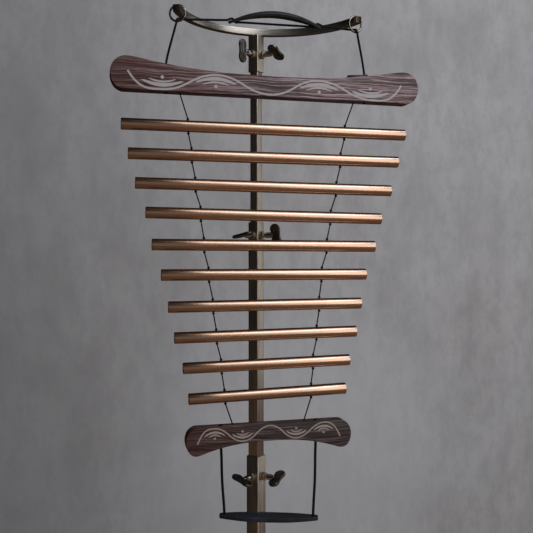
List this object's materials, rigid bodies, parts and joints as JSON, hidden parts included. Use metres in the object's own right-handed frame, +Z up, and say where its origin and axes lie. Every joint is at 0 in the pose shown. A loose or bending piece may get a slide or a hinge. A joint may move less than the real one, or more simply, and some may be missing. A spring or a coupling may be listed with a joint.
{
  "type": "hanging tube chime on a stand",
  "caption": "Tuned metal tubes strung in a ladder between shaped wooden bars with leather grips, hung by rings from the bow of a telescoping floor stand clamped by wing bolts.",
  "frame": {"origin": "on the floor, on the axis of the mast, midway between the shoes", "axes": "+Z up the mast; +X to the right along the bars, seen from the front; the set hangs on the -Y side"},
  "size_m": [0.44, 0.366, 1.3072],
  "materials": {
    "copper_tube": "drawn tube, copper-coloured anodised, satin",
    "walnut": "oiled dark walnut with an inlaid pale line",
    "leather": "thick black leather, edges cut and darkened",
    "cord": "black braided cord",
    "mast_metal": "warm bronze-grey metal, satin",
    "bow_metal": "brushed bare metal",
    "bolt_metal": "dark cast metal",
    "ring_metal": "bright nickel",
    "shoe_rubber": "moulded black rubber"
  },
  "bodies": {
    "stand": {"base_socket": "mast_metal", "front_left_leg": "mast_metal", "front_right_leg": "mast_metal", "back_left_leg": "mast_metal", "back_right_leg": "mast_metal", "front_left_shoe": "shoe_rubber", "front_right_shoe": "shoe_rubber", "back_left_shoe": "shoe_rubber", "back_right_shoe": "shoe_rubber", "lower_mast": "mast_metal", "lower_left_boss": "bolt_metal", "lower_right_boss": "bolt_metal"},
    "mid_mast": {"mid_mast": "mast_metal", "mid_left_boss": "bolt_metal", "mid_right_boss": "bolt_metal"},
    "upper_mast": {"upper_mast": "mast_metal"},
    "yoke": {"yoke_sleeve": "mast_metal", "yoke_bow": "bow_metal", "sleeve_left_boss": "bolt_metal", "sleeve_right_boss": "bolt_metal", "hanging_cord": "cord"},
    "left_ring": {"left_ring": "ring_metal"},
    "right_ring": {"right_ring": "ring_metal"},
    "upper_grip": {"upper_grip": "leather"},
    "top_bar": {"top_bar": "walnut", "cord_tag": "leather", "left_string": "cord", "right_string": "cord"},
    "bottom_bar": {"bottom_bar": "walnut", "left_handle_cord": "cord", "right_handle_cord": "cord"},
    "lower_grip": {"lower_grip": "leather"},
    "tube_01": {"tube_01": "copper_tube"},
    "tube_02": {"tube_02": "copper_tube"},
    "tube_03": {"tube_03": "copper_tube"},
    "tube_04": {"tube_04": "copper_tube"},
    "tube_05": {"tube_05": "copper_tube"},
    "tube_06": {"tube_06": "copper_tube"},
    "tube_07": {"tube_07": "copper_tube"},
    "tube_08": {"tube_08": "copper_tube"},
    "tube_09": {"tube_09": "copper_tube"},
    "tube_10": {"tube_10": "copper_tube"},
    "sleeve_left_wing_bolt": {"sleeve_left_wing_bolt": "bolt_metal"},
    "sleeve_right_wing_bolt": {"sleeve_right_wing_bolt": "bolt_metal"},
    "mid_left_wing_bolt": {"mid_left_wing_bolt": "bolt_metal"},
    "mid_right_wing_bolt": {"mid_right_wing_bolt": "bolt_metal"},
    "lower_left_wing_bolt": {"lower_left_wing_bolt": "bolt_metal"},
    "lower_right_wing_bolt": {"lower_right_wing_bolt": "bolt_metal"}
  },
  "joints": [
    {"name": "mid_mast_slide", "type": "slide", "parent": "stand", "child": "mid_mast", "axis": [0, 0, 1], "range_m": [-0.3, 0.1]},
    {"name": "upper_mast_slide", "type": "slide", "parent": "mid_mast", "child": "upper_mast", "axis": [0, 0, 1], "range_m": [-0.22, 0.1]},
    {"name": "sleeve_slide", "type": "slide", "parent": "upper_mast", "child": "yoke", "axis": [0, 0, 1], "range_m": [0, 0.04]},
    {"name": "left_ring_turn", "type": "hinge", "parent": "yoke", "child": "left_ring", "pos_m": [-0.1278, -0.08948, 1.29478], "axis": [0.342, 0.9397, 0], "continuous": true},
    {"name": "right_ring_turn", "type": "hinge", "parent": "yoke", "child": "right_ring", "pos_m": [0.1278, -0.08948, 1.29478], "axis": [0.342, -0.9397, 0], "continuous": true},
    {"name": "upper_grip_turn", "type": "hinge", "parent": "yoke", "child": "upper_grip", "pos_m": [0.0095, -0.08948, 1.28718], "axis": [1, 0, 0], "range_deg": [-90, 90], "deforming": ["hanging_cord"]},
    {"name": "set_swing", "type": "hinge", "parent": "yoke", "child": "top_bar", "pos_m": [0, -0.08948, 1.28378], "axis": [1, 0, 0], "range_deg": [-40, 1], "deforming": ["hanging_cord"]},
    {"name": "tube_01_link", "type": "hinge", "parent": "top_bar", "child": "tube_01", "pos_m": [0, -0.08948, 1.1838], "axis": [0.9999, 0, -0.0105], "range_deg": [-15, 0.5], "deforming": ["left_string", "right_string"]},
    {"name": "tube_02_link", "type": "hinge", "parent": "tube_01", "child": "tube_02", "pos_m": [-0.00096, -0.08948, 1.1312], "axis": [1, 0, -0.007], "range_deg": [-15, 0.5], "deforming": ["left_string", "right_string"]},
    {"name": "tube_03_link", "type": "hinge", "parent": "tube_02", "child": "tube_03", "pos_m": [-0.00156, -0.08948, 1.09144], "axis": [1, 0, -0.007], "range_deg": [-15, 0.5], "deforming": ["left_string", "right_string"]},
    {"name": "tube_04_link", "type": "hinge", "parent": "tube_03", "child": "tube_04", "pos_m": [-0.0022, -0.08948, 1.05048], "axis": [0.9999, 0, -0.0122], "range_deg": [-15, 0.5], "deforming": ["left_string", "right_string"]},
    {"name": "tube_05_link", "type": "hinge", "parent": "tube_04", "child": "tube_05", "pos_m": [-0.00273, -0.08948, 1.00994], "axis": [0.9999, 0, -0.0157], "range_deg": [-15, 0.5], "deforming": ["left_string", "right_string"]},
    {"name": "tube_06_link", "type": "hinge", "parent": "tube_05", "child": "tube_06", "pos_m": [-0.00314, -0.08948, 0.96794], "axis": [1, 0, -0.0052], "range_deg": [-15, 0.5], "deforming": ["left_string", "right_string"]},
    {"name": "tube_07_link", "type": "hinge", "parent": "tube_06", "child": "tube_07", "pos_m": [-0.0036, -0.08948, 0.92694], "axis": [1, 0, 0], "range_deg": [-15, 0.5], "deforming": ["left_string", "right_string"]},
    {"name": "tube_08_link", "type": "hinge", "parent": "tube_07", "child": "tube_08", "pos_m": [-0.00233, -0.08948, 0.8839], "axis": [1, 0, 0.0087], "range_deg": [-15, 0.5], "deforming": ["left_string", "right_string"]},
    {"name": "tube_09_link", "type": "hinge", "parent": "tube_08", "child": "tube_09", "pos_m": [-0.00176, -0.08948, 0.84224], "axis": [0.9998, 0, 0.0175], "range_deg": [-15, 0.5], "deforming": ["left_string", "right_string"]},
    {"name": "tube_10_link", "type": "hinge", "parent": "tube_09", "child": "tube_10", "pos_m": [-0.0009, -0.08948, 0.80057], "axis": [0.9997, 0, 0.0244], "range_deg": [-15, 0.5], "deforming": ["left_string", "right_string"]},
    {"name": "bottom_bar_link", "type": "hinge", "parent": "tube_10", "child": "bottom_bar", "pos_m": [0.00019, -0.08948, 0.75858], "axis": [0.9994, 0, 0.0349], "range_deg": [-15, 0.5], "deforming": ["left_string", "right_string"]},
    {"name": "lower_grip_swing", "type": "hinge", "parent": "bottom_bar", "child": "lower_grip", "pos_m": [0.00046, -0.08948, 0.69622], "axis": [0.9999, 0, 0.0157], "range_deg": [-60, 4], "deforming": ["left_handle_cord", "right_handle_cord"]},
    {"name": "sleeve_left_bolt_turn", "type": "hinge", "parent": "yoke", "child": "sleeve_left_wing_bolt", "pos_m": [0, 0, 1.2652], "axis": [-0.7071, -0.7071, 0], "continuous": true},
    {"name": "sleeve_right_bolt_turn", "type": "hinge", "parent": "yoke", "child": "sleeve_right_wing_bolt", "pos_m": [0, 0, 1.2652], "axis": [0.7071, -0.7071, 0], "continuous": true},
    {"name": "mid_left_bolt_turn", "type": "hinge", "parent": "mid_mast", "child": "mid_left_wing_bolt", "pos_m": [0, 0, 0.9927], "axis": [-0.7071, -0.7071, 0], "continuous": true},
    {"name": "mid_right_bolt_turn", "type": "hinge", "parent": "mid_mast", "child": "mid_right_wing_bolt", "pos_m": [0, 0, 0.9927], "axis": [0.7071, -0.7071, 0], "continuous": true},
    {"name": "lower_left_bolt_turn", "type": "hinge", "parent": "stand", "child": "lower_left_wing_bolt", "pos_m": [0, 0, 0.6277], "axis": [-0.7071, -0.7071, 0], "continuous": true},
    {"name": "lower_right_bolt_turn", "type": "hinge", "parent": "stand", "child": "lower_right_wing_bolt", "pos_m": [0, 0, 0.6277], "axis": [0.7071, -0.7071, 0], "continuous": true}
  ]
}
